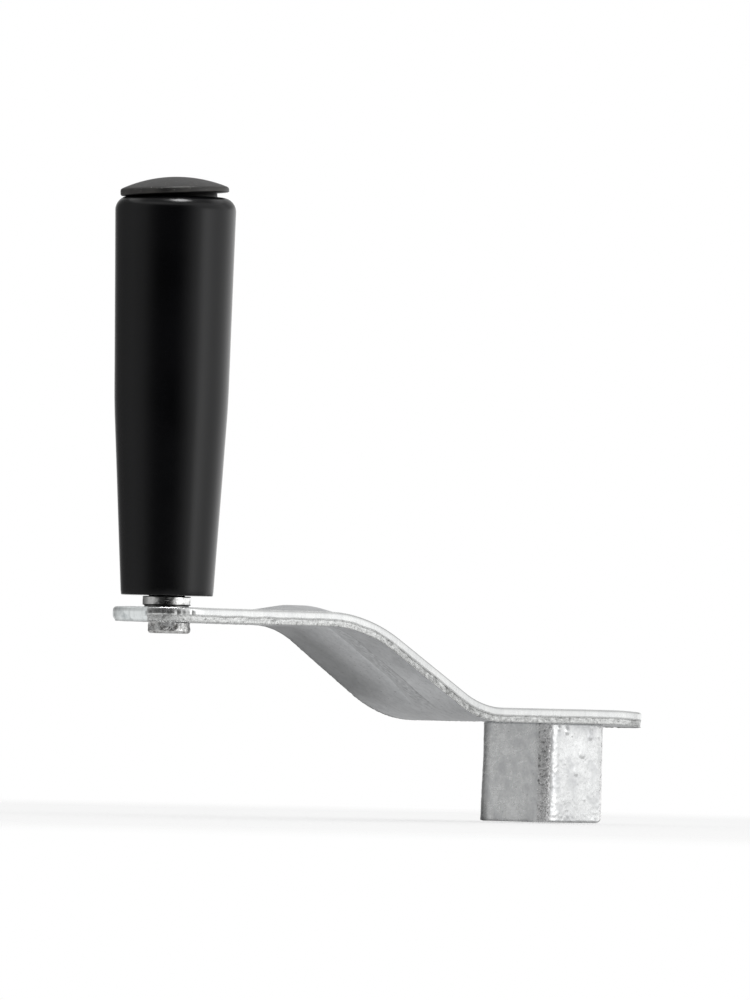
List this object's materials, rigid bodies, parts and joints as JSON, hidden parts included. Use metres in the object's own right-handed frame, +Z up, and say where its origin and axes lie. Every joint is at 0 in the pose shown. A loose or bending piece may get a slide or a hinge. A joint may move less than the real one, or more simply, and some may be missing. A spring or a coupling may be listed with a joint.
{
  "type": "crank handle",
  "caption": "Offset steel crank arm with a square threaded hub at one end and a freely turning tapered plastic grip at the other.",
  "frame": {"origin": "on the hub's bore axis at the hub's lower face, where the driven shaft enters", "axes": "+Z up the bore towards the grip, +X from the grip pin to the hub, along the arm"},
  "size_m": [0.2009, 0.042, 0.1765],
  "materials": {
    "zinc_plated_strip": "zinc plated, sheared edges",
    "zinc_plated_block": "zinc plated, mottled",
    "turned_steel": "turned, bright",
    "spring_steel": "dark phosphated",
    "black_grip": "satin-gloss moulded",
    "black_cap": "matt moulded"
  },
  "bodies": {
    "crank": {"crank_arm": "zinc_plated_strip", "hub": "zinc_plated_block", "grip_pin": "turned_steel", "grip_washer": "turned_steel", "retaining_ring": "spring_steel"},
    "handle": {"handle_grip": "black_grip", "end_cap": "black_cap"}
  },
  "joints": [
    {"name": "handle_spin", "type": "hinge", "parent": "crank", "child": "handle", "pos_m": [-0.1616, 0, 0.1], "axis": [0, 0, 1], "continuous": true}
  ]
}
